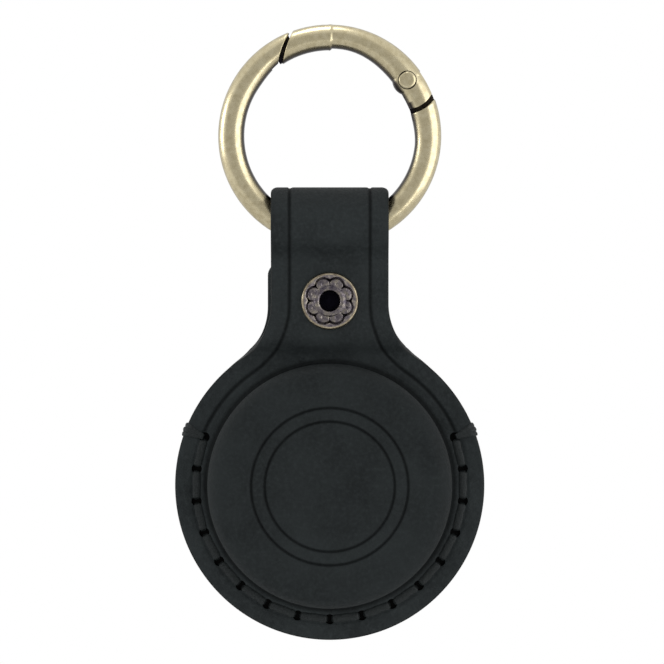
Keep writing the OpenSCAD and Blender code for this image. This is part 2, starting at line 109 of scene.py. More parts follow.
def linear(code):
    """An sRGB hex colour as the linear values that a shader takes."""
    parts = [int(code[i:i + 2], 16) / 255 for i in (1, 3, 5)]
    return tuple(p / 12.92 if p <= 0.04045 else ((p + 0.055) / 1.055) ** 2.4 for p in parts) + (1.0,)


def smooth(low, high, x):
    """0 below low and 1 above high, with a soft step between them."""
    t = min(1.0, max(0.0, (x - low) / (high - low)))
    return t * t * (3 - 2 * t)


def bump_at(x, half):
    """1 at 0, falling softly to 0 at half on both sides."""
    t = abs(x) / half
    return 0.0 if t >= 1 else (1 - t * t) ** 2


def edge_drop(o, radius):
    """How far a rounded edge falls back at a distance inside it."""
    o = min(radius, max(0.0, o))
    return radius - math.sqrt(radius ** 2 - (radius - o) ** 2)


def metres(place):
    """A place in millimetres as Blender takes it."""
    return Vector([c * MM for c in place])


def fixed_order(bm):
    """Sorts a bmesh's vertices, edges and faces by place, because spin and solidify leave them in
    another order each time."""
    def corners(part):
        return sorted(v.index for v in part.verts)

    for parts, key in ((bm.verts, lambda v: v.co[:]), (bm.edges, corners), (bm.faces, corners)):
        for i, part in enumerate(sorted(parts, key=key)):
            part.index = i
        parts.sort()


def object_from(name, bm):
    """Turns a bmesh in millimetres into an object in metres."""
    bmesh.ops.scale(bm, vec=(MM, MM, MM), verts=bm.verts)
    mesh = bpy.data.meshes.new(name)
    bm.to_mesh(mesh)
    bm.free()
    made = bpy.data.objects.new(name, mesh)
    bpy.context.scene.collection.objects.link(made)
    return made


def finish_piece(name, bm, body, materials, replaced=(), sharp=35.0):
    """Makes a piece with its faces outwards. It rides on a body where one is given; a piece that is still to
    be cut gets none here."""
    if bm.calc_volume(signed=True) < 0:
        bmesh.ops.reverse_faces(bm, faces=bm.faces)
    piece = object_from(name, bm)
    mesh = piece.data
    for material in materials:
        mesh.materials.append(material)
    mesh.shade_smooth()
    mesh.set_sharp_from_angle(angle=math.radians(sharp))
    if replaced:
        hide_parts(*replaced)
    if body:
        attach(piece, body)
    return piece


def combine(piece, shape, operation="DIFFERENCE"):
    """Cuts a bmesh in millimetres out of a piece, or joins it on."""
    bmesh.ops.recalc_face_normals(shape, faces=shape.faces)
    tool = object_from("tool", shape)
    step = piece.modifiers.new("combine", "BOOLEAN")
    step.operation = operation
    step.solver = "EXACT"
    step.object = tool
    bpy.context.view_layer.update()
    graph = bpy.context.evaluated_depsgraph_get()
    result = bpy.data.meshes.new_from_object(piece.evaluated_get(graph), depsgraph=graph)
    piece.modifiers.clear()
    for used in (piece.data, tool.data):
        used.name = "used"
    piece.data, old = result, piece.data
    result.name = piece.name
    tool_mesh = tool.data
    bpy.data.objects.remove(tool)
    bpy.data.meshes.remove(tool_mesh)
    bpy.data.meshes.remove(old)


def round_pins(bm, places, radius, y0, y1, segments=28):
    """Adds round pins along Y to a bmesh, at places in X and Z."""
    for x, z in places:
        made = bmesh.ops.create_cone(bm, cap_ends=True, segments=segments, radius1=radius, radius2=radius,
                                     depth=y1 - y0)
        bmesh.ops.rotate(bm, cent=(0, 0, 0), matrix=TURN_TO_Y, verts=made["verts"])
        bmesh.ops.translate(bm, vec=(x, (y0 + y1) / 2, z), verts=made["verts"])
    return bm


def spun(line, axis_at, steps):
    """A shape turned about a line along Y through a place. Each point is given by its distance from
    that line and by its Y."""
    bm = bmesh.new()
    verts = [bm.verts.new((axis_at[0] + r, y, axis_at[2])) for r, y in line]
    edges = [bm.edges.new(pair) for pair in zip(verts, verts[1:])]
    bmesh.ops.spin(bm, geom=verts + edges, cent=axis_at, axis=(0, 1, 0), angle=2 * math.pi, steps=steps,
                   use_merge=True)
    bmesh.ops.remove_doubles(bm, verts=bm.verts, dist=0.001)
    fixed_order(bm)
    return bm


# Materials

def node(tree, kind, links=(), **settings):
    """Adds a shader node, sets its properties and sockets, and links its inputs."""
    made = tree.nodes.new(kind)
    for key, value in settings.items():
        if hasattr(made, key):
            setattr(made, key, value)
        else:
            made.inputs[key.replace("_", " ")].default_value = value
    for name, source in links:
        tree.links.new(source, made.inputs[name])
    return made


def blank_material(name):
    """A new material and its empty tree."""
    made = bpy.data.materials.new(name)
    made.use_nodes = True
    made.node_tree.nodes.clear()
    return made, made.node_tree


def close(tree, shader):
    """Links the shader to the material's surface."""
    out = tree.nodes.new("ShaderNodeOutputMaterial")
    tree.links.new(shader.outputs[0], out.inputs["Surface"])


def ramp(tree, source, stops):
    """A colour ramp from (place, colour) pairs."""
    made = tree.nodes.new("ShaderNodeValToRGB")
    steps = made.color_ramp.elements
    while len(steps) < len(stops):
        steps.new(0.5)
    for step, (place, colour) in zip(steps, stops):
        step.position = place
        step.color = linear(colour) if isinstance(colour, str) else (colour, colour, colour, 1)
    tree.links.new(source, made.inputs["Fac"])
    return made


def leather_material(name, low, high, rough_low, rough_high, grain):
    """Vegetable-tanned cowhide, dyed charcoal and lightly waxed: a fine pebbled grain with pores
    about a third of a millimetre apart, a little uneven dye, and a dull sheen."""
    made, tree = blank_material(name)
    place = node(tree, "ShaderNodeTexCoord").outputs["Object"]
    pores = node(tree, "ShaderNodeTexVoronoi", [("Vector", place)], Scale=1 / (0.34 * MM))
    wrinkle = node(tree, "ShaderNodeTexNoise", [("Vector", place)], Scale=1 / (0.6 * MM), Detail=5.0,
                   Roughness=0.62)
    cloud = node(tree, "ShaderNodeTexNoise", [("Vector", place)], Scale=1 / (7.0 * MM), Detail=3.0)
    tone = node(tree, "ShaderNodeMix", [("Factor", wrinkle.outputs["Fac"]), (2, cloud.outputs["Fac"]),
                                        (3, wrinkle.outputs["Fac"])], data_type="FLOAT")
    dye = ramp(tree, tone.outputs[0], [(0.35, low), (0.65, high)])
    # Darker and without sheen along the tooled lines, with painted shade in the corner at the foot of the
    # pocket, and a little darker over the pocket's whole face
    pressed = node(tree, "ShaderNodeAttribute", attribute_name="pressed")
    colour = node(tree, "ShaderNodeMix", [("Factor", pressed.outputs["Fac"]), (6, dye.outputs["Color"])],
                  data_type="RGBA")
    colour.inputs[7].default_value = linear("#0c0d0d")
    gloss = ramp(tree, cloud.outputs["Fac"], [(0.3, rough_low), (0.7, rough_high)])
    first = node(tree, "ShaderNodeBump", [("Height", pores.outputs["Distance"])],
                 Strength=grain, Distance=0.05 * MM)
    second = node(tree, "ShaderNodeBump", [("Height", wrinkle.outputs["Fac"]),
                                           ("Normal", first.outputs["Normal"])],
                  Strength=grain, Distance=0.12 * MM)
    shine = node(tree, "ShaderNodeMapRange", [("Value", pressed.outputs["Fac"])], To_Min=0.12, To_Max=0.0)
    shader = node(tree, "ShaderNodeBsdfPrincipled",
                  [("Base Color", colour.outputs[2]), ("Roughness", gloss.outputs["Color"]),
                   ("Normal", second.outputs["Normal"]), ("Specular IOR Level", shine.outputs["Result"])],
                  IOR=1.5)
    close(tree, shader)
    return made


def metal_material(name, dark, mid, light, rough_low, rough_high, patch, dent, painted_shade_before_y=-100):
    """A cast and tumbled metal with patches of tarnish of a given size. An attribute darkens it with patina
    in its hollows and with painted shade, and in front of a place in Y, where one is given, it is black with
    painted shade."""
    made, tree = blank_material(name)
    place = node(tree, "ShaderNodeTexCoord").outputs["Object"]
    tarnish = node(tree, "ShaderNodeTexNoise", [("Vector", place)], Scale=1 / (patch * MM), Detail=6.0,
                   Roughness=0.6)
    grit = node(tree, "ShaderNodeTexNoise", [("Vector", place)], Scale=1 / (0.25 * MM), Detail=3.0)
    worn = ramp(tree, tarnish.outputs["Fac"], [(0.3, dark), (0.48, mid), (0.7, light)])
    # Dark where the attribute holds patina and painted shade, and black with painted shade in front of the
    # given Y
    deep = node(tree, "ShaderNodeAttribute", attribute_name="patina_and_shade")
    part = node(tree, "ShaderNodeSeparateXYZ", [("Vector", place)])
    front = node(tree, "ShaderNodeMath", [(0, part.outputs["Y"])], operation="LESS_THAN")
    front.inputs[1].default_value = painted_shade_before_y * MM
    patina_and_painted_dark = node(tree, "ShaderNodeMath", [(0, deep.outputs["Fac"]), (1, front.outputs[0])],
                     operation="MAXIMUM")
    colour = node(tree, "ShaderNodeMix", [("Factor", patina_and_painted_dark.outputs[0]), (6, worn.outputs["Color"])],
                  data_type="RGBA")
    colour.inputs[7].default_value = linear("#1a1822")
    gloss = ramp(tree, tarnish.outputs["Fac"], [(0.3, rough_high), (0.7, rough_low)])
    first = node(tree, "ShaderNodeBump", [("Height", grit.outputs["Fac"])], Strength=dent,
                 Distance=0.03 * MM)
    second = node(tree, "ShaderNodeBump", [("Height", tarnish.outputs["Fac"]),
                                           ("Normal", first.outputs["Normal"])],
                  Strength=dent, Distance=0.15 * MM)
    shader = node(tree, "ShaderNodeBsdfPrincipled",
                  [("Base Color", colour.outputs[2]), ("Roughness", gloss.outputs["Color"]),
                   ("Normal", second.outputs["Normal"])], Metallic=1.0)
    close(tree, shader)
    return made


def thread_material():
    """Waxed linen thread, black: dull and fibrous, with a slight shine from the wax."""
    made, tree = blank_material("Waxed black thread")
    place = node(tree, "ShaderNodeTexCoord").outputs["Object"]
    fibre = node(tree, "ShaderNodeTexNoise", [("Vector", place)], Scale=1 / (0.22 * MM), Detail=4.0)
    colour = ramp(tree, fibre.outputs["Fac"], [(0.35, "#1b1f1f"), (0.7, "#2b2f30")])
    bumps = node(tree, "ShaderNodeBump", [("Height", fibre.outputs["Fac"])], Strength=0.6,
                 Distance=0.05 * MM)
    shader = node(tree, "ShaderNodeBsdfPrincipled",
                  [("Base Color", colour.outputs["Color"]), ("Normal", bumps.outputs["Normal"])],
                  Roughness=0.6, IOR=1.5, Specular_IOR_Level=0.2)
    close(tree, shader)
    return made


def dull_material(name, colour):
    """A dull black: painted shade on the thread deep in the stitch holes and inside the eyelet's tube."""
    made, tree = blank_material(name)
    close(tree, node(tree, "ShaderNodeBsdfPrincipled", Base_Color=linear(colour), Roughness=0.85, IOR=1.5,
                     Specular_IOR_Level=0.1))
    return made


# Dull blacks of painted shade, for the thread deep in the stitch holes and for the inside of the eyelet's
# tube
hole_shade_black = dull_material("Thread in the stitch holes in painted shade", "#050505")
leather = leather_material("Charcoal cowhide", "#1f2324", "#2f3435", 0.6, 0.72, 0.7)
burnished = leather_material("Burnished leather edge", "#161919", "#1e2222", 0.48, 0.58, 0.25)
thread = thread_material()
brass = metal_material("Antique cast brass", "#b1a686", "#bfb494", "#ccc2a3", 0.24, 0.32, 0.7, 0.03)
tarnish_and_shade_brass = metal_material("Tarnished brass with painted shade", "#1b1815", "#2a2621", "#3a352c", 0.5, 0.65, 0.8, 0.4)
pewter = metal_material("Aged pewter", "#4a4550", "#7a7376", "#aca493", 0.2, 0.36, 0.7, 0.9)
rubbed = metal_material("Rubbed pewter rim", "#786e60", "#988d78", "#bfb49a", 0.26, 0.38, 0.8, 0.5)
# The cap's post in front of Y 5.1 mm, seen down the eyelet's bore, is painted black as shade
dark_brass_shaded_post = metal_material("Dark brass with painted shade on its post", "#4a453a", "#746b55", "#938a6c", 0.35, 0.5, 1.5, 0.4, 5.1)
tube_shade_black = dull_material("Inside of the tube in painted shade", "#121826")
steel = metal_material("Drawn steel wire", "#7d7d7b", "#989896", "#b0b0ae", 0.28, 0.4, 2.0, 0.2)


# The leather, cut flat and then bent

def shoulder_centre(half):
    """Centre of the hollow shoulder between the disc and a neck of this half width."""
    x = half + SHOULDER_R
    return x, math.sqrt((DISC_R + SHOULDER_R) ** 2 - x * x)


def edge_distance(x, z, left, right):
    """Distance inside the outline of the flat pattern, whose disc is centred on 0."""
    half = right if x > 0 else left
    cx, cz = shoulder_centre(half)
    if z > cz:
        return half - abs(x)
    if math.atan2(z, abs(x)) > math.atan2(cz, cx):
        return math.hypot(abs(x) - cx, z - cz) - SHOULDER_R
    return DISC_R - math.hypot(x, z)


def cut(bm, faces, place, way, trim=False):
    """Cuts faces along a plane, and trims off what lies past it where asked."""
    geom = [part for f in faces for part in (f, *f.edges, *f.verts)]
    bmesh.ops.bisect_plane(bm, geom=list(dict.fromkeys(geom)), plane_co=place, plane_no=way,
                           clear_outer=trim, dist=1e-5 if trim else 1e-4)


def cut_lines(bm, axis, places, only=lambda middle: True):
    """Cuts the pattern's faces along straight lines across an axis, so that it can bend there."""
    way = Vector([float(i == axis) for i in range(3)])
    for place in places:
        faces = [f for f in bm.faces if min(v.co[axis] for v in f.verts) < place - 1e-4
                 and max(v.co[axis] for v in f.verts) > place + 1e-4 and only(f.calc_center_bounds())]
        cut(bm, faces, way * place, way)


def flat_pattern(left, right, top, rings, steps):
    """The leather's flat pattern in X and Z: a disc whose neck runs straight up to top. Its lines run
    along the edge, and round the disc at each ring."""
    bm = bmesh.new()
    ends = {}
    for side, half in ((1, right), (-1, left)):
        cx, cz = shoulder_centre(half)
        ends[side] = math.atan2(cz, cx)
    turn_low = ends[1] + ends[-1] + math.pi
    turn_high = math.pi - ends[1] - ends[-1]

    def line(angle, radii):
        verts = [bm.verts.new((r * math.cos(angle), 0, r * math.sin(angle))) for r in radii]
        edges = [bm.edges.new(pair) for pair in zip(verts, verts[1:])]
        return verts + edges

    band = [DISC_R - o for o in EDGE_LINES]
    bmesh.ops.spin(bm, geom=line(ends[1], rings + band[::-1][1:]), cent=(0, 0, 0), axis=(0, 1, 0),
                   angle=turn_low, steps=steps)
    bmesh.ops.spin(bm, geom=line(ends[1], rings), cent=(0, 0, 0), axis=(0, 1, 0), angle=-turn_high,
                   steps=max(8, round(steps * turn_high / turn_low)))
    for side, half in ((1, right), (-1, left)):
        cx, cz = shoulder_centre(half)
        angle = ends[1] if side > 0 else math.pi - ends[-1]
        made = bmesh.ops.spin(bm, geom=line(angle, band), cent=(side * cx, 0, cz), axis=(0, 1, 0),
                              angle=side * ends[side], steps=24)
        edges = [e for e in made["geom_last"] if isinstance(e, bmesh.types.BMEdge)]
        made = bmesh.ops.extrude_edge_only(bm, edges=edges)
        moved = [v for v in made["geom"] if isinstance(v, bmesh.types.BMVert)]
        for v in moved:
            v.co.z = top
    bmesh.ops.remove_doubles(bm, verts=bm.verts, dist=0.004)
    fixed_order(bm)

    def inner(v):
        """Tells whether a vertex lies on the inner line of the edge band, round the area left open."""
        half = right if v.co.x > 0 else left
        cx, cz = shoulder_centre(half)
        x, z = abs(v.co.x), v.co.z
        on_arc = abs(math.hypot(x, z) - HUB_R) < 0.01 and math.atan2(z, x) > math.atan2(cz, cx) - 0.001
        on_hollow = abs(math.hypot(x - cx, z - cz) - SHOULDER_R - EDGE_LINES[-1]) < 0.01 and z < cz + 0.01
        on_neck = abs(x - half + EDGE_LINES[-1]) < 0.01 and z > cz - 0.01
        return on_arc or on_hollow or on_neck

    tops = [v for v in bm.verts if inner(v) and abs(v.co.z - top) < 0.01]
    loop = [e for e in bm.edges if e.is_boundary and all(inner(v) for v in e.verts)
            and not all(abs(v.co.z - top) < 0.01 for v in e.verts)]
    loop.append(bm.edges.new(tops))
    bmesh.ops.contextual_create(bm, geom=loop)
    return bm


def round_corners(bm, left, right, top, corner, cuts=8):
    """Trims the two corners at the top of the pattern to a radius, with a few straight cuts."""
    for side, half in ((1, right), (-1, left)):
        for i in range(cuts):
            a = math.radians(90 * (i + 0.5) / cuts)
            way = Vector((side * math.cos(a), 0, math.sin(a)))
            at = Vector((side * (half - corner), 0, top - corner)) + corner * way
            near = []
            for f in bm.faces:
                across = [side * v.co.x for v in f.verts]
                high = max(v.co.z for v in f.verts)
                on_side = min(across) > 0 or high > top - 0.01 and len(across) > 3
                if on_side and max(across) > 0.01 and high > top - 2 * corner:
                    near.append(f)
            cut(bm, near, at, way, trim=True)


def thicken(bm, thickness):
    """Gives the flat pattern its thickness towards +Y."""
    bmesh.ops.recalc_face_normals(bm, faces=bm.faces)
    if sum(f.normal.y * f.calc_area() for f in bm.faces) > 0:
        bmesh.ops.reverse_faces(bm, faces=bm.faces)
    bmesh.ops.solidify(bm, geom=bm.faces[:], thickness=-thickness)
    for v in bm.verts:
        v.co.y = 0.0 if abs(v.co.y) < thickness / 2 else thickness
    bmesh.ops.recalc_face_normals(bm, faces=bm.faces)
    fixed_order(bm)


def rounded_off(x, z, left, right, top, corner):
    """How far the rounding of the cut edge takes the face back at a place on the flat pattern."""
    o = min(edge_distance(x, z, left, right), top - z)
    half = right if x > 0 else left
    if abs(x) > half - corner and z > top - corner:
        o = corner - math.hypot(abs(x) - half + corner, z - top + corner)
    return edge_drop(o, ROUNDING)


def burnish(bm, left, right):
    """The cut edges take the second material."""
    for f in bm.faces:
        at = f.calc_center_median()
        near = edge_distance(at.x, at.z, left, right) < BURNISHED
        f.material_index = 1 if abs(f.normal.y) < 0.5 or near else 0


def arc_points(y, z, r, start, end, side, steps=24):
    """Points on an arc in Y and Z, each with the direction of the leather's outer face."""
    turns = [math.radians(start + (end - start) * i / steps) for i in range(1, steps + 1)]
    return [(y + r * math.cos(a), z + r * math.sin(a), side * math.cos(a), side * math.sin(a))
            for a in turns]


def s_bend(y, z, dy, dz):
    """An S that rises by dz and moves forwards by dy."""
    a = 2 * math.degrees(math.atan(dy / dz))
    r = dz / (2 * math.sin(math.radians(a)))
    return ([(y, z, -1.0, 0.0)] + arc_points(y - r, z, r, 0, a, -1)
            + arc_points(y - dy + r, z + dz, r, 180 + a, 180, 1))


def with_length(points, start, straight_until):
    """Adds to each point its place on the flat pattern: its height as far as straight_until, so that
    the disc stays round, and its length along the leather from there on."""
    line = [(start,) + points[0]]
    bent = False
    for before, point in zip(points, points[1:]):
        bent = bent or point[1] > straight_until + 1e-6
        step = math.hypot(point[0] - before[0], point[1] - before[1])
        line.append((line[-1][0] + step if bent else point[1],) + point)
    return line


def facing_back(points):
    """The same points, turned half round the Z axis."""
    return [(-y, z, -ny, nz) for y, z, ny, nz in points]


def on_line(line, s):
    """Place and outward direction on a line of leather, at flat place s."""
    low, high = 0, len(line) - 1
    while high - low > 1:
        mid = (low + high) // 2
        if line[mid][0] <= s:
            low = mid
        else:
            high = mid
    a, b = line[low], line[high]
    t = min(1.0, max(0.0, (s - a[0]) / (b[0] - a[0]))) if b[0] > a[0] else 0.0
    y, z, ny, nz = (a[k] + (b[k] - a[k]) * t for k in range(1, 5))
    size = math.hypot(ny, nz)
    return y, z, ny / size, nz / size


# Front leather: the path of its middle in Y and Z round the pocket's centre, from the bottom up. It
# rises from the flange to the neck, folds over the ring and comes down behind the neck as the tail.
PATH_START = -DISC_R - 1
FLANGE_MID = FLANGE_BACK - LEATHER / 2
RISE_START = 18.0
RISE = 4.3
NECK_MID = 0.65
FOLD_R = 3.7
FOLD_MID = FOLD_R + LEATHER / 2
FOLD_Z = DROP - 12.358
FOLD_START = DROP - 19.77
FOLD_ROUND = 0.9
TAIL_END = 22.6
fold_side = s_bend(-NECK_MID, FOLD_START, FOLD_MID - NECK_MID, FOLD_Z - FOLD_START)
front_points = ([(FLANGE_MID, PATH_START, -1.0, 0.0)]
                + s_bend(FLANGE_MID, RISE_START, FLANGE_MID + NECK_MID, RISE)
                + fold_side
                + arc_points(0, FOLD_Z, FOLD_MID, 180, 0, 1, 48)[:-1]
                + facing_back(reversed(fold_side))
                + [(NECK_MID, TAIL_END, 1.0, 0.0)])
front_line = with_length(front_points, PATH_START, FOLD_START)
TAIL = front_line[-1][0]

# The pocket's moulding
MARK_HALF = 0.42
FOOT_ROUND = 0.45


def hub_profile():
    """Rings of the moulded pocket: place of the outer face and of the inner face, as radius and Y."""
    outer = [(r, BOSS_FACE) for r in (0, 2.5, 5.0, 7.2, 8.6)]
    for mark in MARKS:
        outer += [(mark + d, BOSS_FACE + deep) for d, deep in MARK_SHAPE]
    outer.append((sum(MARKS) / 2, BOSS_FACE))
    outer += [(r, BOSS_FACE) for r in (12.4, 13.4, 14.3)]
    outer.sort()
    turn_r, turn_y = BOSS_R - BOSS_ROUND, BOSS_FACE + BOSS_ROUND
    for i in range(13):
        a = math.radians(90 - 90 * i / 12)
        outer.append((turn_r + BOSS_ROUND * math.cos(a), turn_y - BOSS_ROUND * math.sin(a)))
    outer += [(BOSS_R, y) for y in (-4.3, -3.2, -2.0, -1.0)]
    for i in range(7):
        a = math.radians(90 * i / 6)
        outer.append((BOSS_R + FOOT_ROUND * (1 - math.cos(a)),
                      FLANGE_FRONT - FOOT_ROUND * (1 - math.sin(a))))
    outer += [(18.35, FLANGE_FRONT), (HUB_R, FLANGE_FRONT)]
    rings = []
    inner_r = BOSS_R - LEATHER
    thinner = 1 - LEATHER / BOSS_ROUND
    for r, y in outer:
        if r < turn_r + 0.01:
            inner = r, BOSS_FACE + LEATHER
        elif y < turn_y:
            inner = turn_r + (r - turn_r) * thinner, turn_y + (y - turn_y) * thinner
        elif y < -1.2:
            inner = inner_r, y
        else:
            t = (r - BOSS_R) / (HUB_R - BOSS_R)
            inner = inner_r + t * (HUB_R - inner_r), min(FLANGE_BACK, y + LEATHER + 2 * t)
        rings.append((r, y) + inner)
    return rings


def crease(x, z, left, right):
    """How deep the line is, from 0 to 1, that is pressed inside the edge of the neck and shoulders."""
    o = edge_distance(x, z, left, right)
    turn = math.degrees(math.atan2(abs(x), -z)) if z < 20 else 180
    return bump_at(o - CREASE_IN, CREASE_HALF) * smooth(109.5, 113, turn)


def groove(x, z):
    """How deep the stitches' groove is, from 0 to 1."""
    turn = math.degrees(math.atan2(abs(x), -z))
    r = math.hypot(x, z)
    across = 1 - smooth(0.5, 0.9, abs(r - STITCH_R))
    return across * (1 - smooth(111.8, 113.6, turn))


def pressed_in(v, layer, x, s, left):
    """Darkens the crease at a place on the flat pattern, and tells how deep the face lies there."""
    line = crease(x, s, left, STRAP_HALF)
    v[layer] = PRESSED_DARK * line
    return CREASE_DEEP * line + (GROOVE_DEEP * groove(x, s) if s < GROOVE_END else 0.0)


def narrowed(x, over):
    """Draws the strap's edges in where it is bent over the ring. over is how far a place lies above
    the level at which that starts."""
    over = min(FOLD_ROUND, over)
    pull = FOLD_ROUND - math.sqrt(max(0.0, FOLD_ROUND ** 2 - over ** 2))
    return x - math.copysign(pull * (abs(x) / STRAP_HALF) ** 6, x)


def front_leather():
    """The flat front panel, moulded over the tag and bent over the ring. Its rows of faces lie close
    together where it bends."""
    hub = hub_profile()
    last = len(hub) - 1
    rings = [HUB_R * i / last for i in range(last + 1)]
    bm = flat_pattern(STRAP_HALF, STRAP_HALF, TAIL, rings, 290)
    rows = [RISE_START, 18.9] + [19.3 + 0.35 * i for i in range(10)]
    rows += [23.4 + 1.2 * i for i in range(6)] + [30.4]
    rows += [FOLD_START + 0.42 * i for i in range(int((TAIL - 9 - FOLD_START) / 0.42))]
    rows += [TAIL - d for d in (8.2, 6.8, 5.4, 4, 2.6, 1.3, 0.28, 0.14, 0.05)]
    cut_lines(bm, 2, rows, lambda middle: middle.z > 15.2 and middle.xz.length > HUB_R - 0.5)
    cut_lines(bm, 0, [1.2 * i - 4.2 for i in range(8)],
              lambda middle: middle.z > HUB_R * 0.7 and middle.xz.length > HUB_R - 0.2)
    round_corners(bm, STRAP_HALF, STRAP_HALF, TAIL, STRAP_CORNER)
    thicken(bm, LEATHER)
    burnish(bm, STRAP_HALF, STRAP_HALF)
    crown = FOLD_Z + FOLD_MID + LEATHER / 2
    pressed = bm.verts.layers.float.new("pressed")
    for v in bm.verts:
        x, deep, s = v.co
        r = math.hypot(x, s)
        if r < HUB_R - 0.01:
            ro, yo, ri, yi = hub[min(last, round(r / HUB_R * last))]
            t = deep / LEATHER
            if t < 0.5:
                mark = max(bump_at(ro - m, MARK_HALF) for m in MARKS) if yo < BOSS_FACE + 0.5 else 0.0
                # Painted shade darkens the corner at the foot of the pocket's wall, and the whole outer face
                # of the pocket is a little darker
                painted_foot_shade = 0.6 * smooth(-1.3, -0.2, yo) * (1 - smooth(18.1, 18.6, ro))
                v[pressed] = max(0.22, PRESSED_DARK * mark, painted_foot_shade)
            way = Vector((x, s)) / r if r > 1e-6 else Vector((0, 0))
            reach = ro + (ri - ro) * t
            high = way.y * ro
            lift = on_line(front_line, high)[0] - FLANGE_MID if high > RISE_START - 0.001 else 0.0
            v.co = (way.x * reach, yo + (yi - yo) * t + lift, way.y * reach - DROP)
            continue
        y, z, ny, nz = on_line(front_line, s)
        face = LEATHER / 2 - deep
        face -= math.copysign(rounded_off(x, s, STRAP_HALF, STRAP_HALF, TAIL, STRAP_CORNER), face)
        if deep < LEATHER / 2:
            face -= pressed_in(v, pressed, x, s, STRAP_HALF)
        high = z + nz * face
        if high > crown - FOLD_ROUND and s > FOLD_START:
            x = narrowed(x, high - crown + FOLD_ROUND)
        v.co = (x, y + ny * face, high - DROP)
    return bm


# Rear leather: flat behind the pocket, and one step further back from there up
REAR_MID = REAR_BACK - REAR_SHEET / 2
REAR_NECK_MID = 4.66
rear_points = ([(REAR_MID, PATH_START, 1.0, 0.0)]
               + facing_back(s_bend(-REAR_MID, 16.9, REAR_NECK_MID - REAR_MID, 5.2))
               + [(REAR_NECK_MID, NECK_TOP + 1, 1.0, 0.0)])
rear_line = with_length(rear_points, PATH_START, NECK_TOP + 2)


def rear_leather():
    """The rear panel. Its rows of faces lie close together at the flap's line and at the step."""
    rings = [0, 4, 8, 11, 14, 16, 17.5, HUB_R]
    bm = flat_pattern(NECK_LEFT, STRAP_HALF, NECK_TOP, rings, 240)
    cut_lines(bm, 2, [FLAP_Z - 1.5 + 0.2 * i for i in range(16)])
    cut_lines(bm, 2, [16.6 + 0.35 * i for i in range(17)]
              + [24, 25.5, 27, 28.5, 30, 31.2, 32.2, 32.36, 32.45])
    round_corners(bm, NECK_LEFT, STRAP_HALF, NECK_TOP, NECK_CORNER)
    thicken(bm, REAR_SHEET)
    burnish(bm, NECK_LEFT, STRAP_HALF)
    pressed = bm.verts.layers.float.new("pressed")
    for v in bm.verts:
        x, deep, s = v.co
        y, z, ny, nz = on_line(rear_line, s)
        face = deep - REAR_SHEET / 2
        face -= math.copysign(rounded_off(x, s, NECK_LEFT, STRAP_HALF, NECK_TOP, NECK_CORNER), face)
        if deep > REAR_SHEET / 2:
            face -= pressed_in(v, pressed, x, s, NECK_LEFT)
        v.co = (x, y + ny * face, z + nz * face - DROP)
    return bm


def hole_turn(i):
    """Angle of a stitch hole round the centre of the pocket."""
    return math.radians(-90 - SWEEP + i * PITCH)


def hole_places():
    """Places of the stitch holes in X and Z."""
    return [(STITCH_R * math.cos(hole_turn(i)), STITCH_R * math.sin(hole_turn(i)) - DROP)
            for i in range(HOLES)]


snap_place = [(0, SNAP_Z - DROP)]
front = finish_piece("front_leather", front_leather(), None, [leather, burnished])
combine(front, round_pins(bmesh.new(), hole_places(), HOLE_R, -1.0, 2.2))
combine(front, round_pins(bmesh.new(), snap_place, STUD_HOLE_R, -3.0, 3.0))
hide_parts("front_panel")
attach(front, "case")

rear = finish_piece("rear_leather", rear_leather(), None, [leather, burnished])
combine(rear, round_pins(bmesh.new(), hole_places(), HOLE_R, 0.8, 4.0))
combine(rear, round_pins(bmesh.new(), snap_place, CAP_HOLE_R, 3.0, 6.0))
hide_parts("rear_panel", "rear_flap")
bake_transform(rear)


# Stitching

def strand(bm, path, width, steps, sides, turns):
    """A flat, twisted strand along path(u), which gives its centre, its side and its upper side for u
    from 0 to 1."""
    made = bmesh.ops.create_grid(bm, x_segments=steps, y_segments=sides, size=0.5)
    for v in made["verts"]:
        u, a = v.co.x + 0.5, 2 * math.pi * (v.co.y + 0.5)
        centre, side, up = path(u)
        swell = 1 + 0.05 * math.cos(3 * a - 2 * math.pi * turns * u)
        v.co = (centre + side * (math.cos(a) * width / 2 * swell)
                + up * (math.sin(a) * THREAD_THICK / 2 * swell))
    bmesh.ops.remove_doubles(bm, verts=made["verts"], dist=0.002)


def stitch_path(first, face, way):
    """From one hole to the next on one face, sinking into both holes and getting narrower there."""
    a0, a1 = hole_turn(first), hole_turn(first + 1)

    def path(u):
        a = a0 + (a1 - a0) * u
        chord = STITCH_R * math.cos((a1 - a0) / 2) / math.cos(a - (a0 + a1) / 2)
        sink = 1.15 * (bump_at(u, 0.13) + bump_at(1 - u, 0.13))
        narrow = 0.4 * (bump_at(u, 0.2) + bump_at(1 - u, 0.2))
        out = Vector((math.cos(a), 0, math.sin(a)))
        centre = out * chord + Vector((0, face - way * (sink - 0.05), 0)) - Vector((0, 0, DROP))
        return centre, out * (1 - narrow), Vector((0, way, 0))
    return path


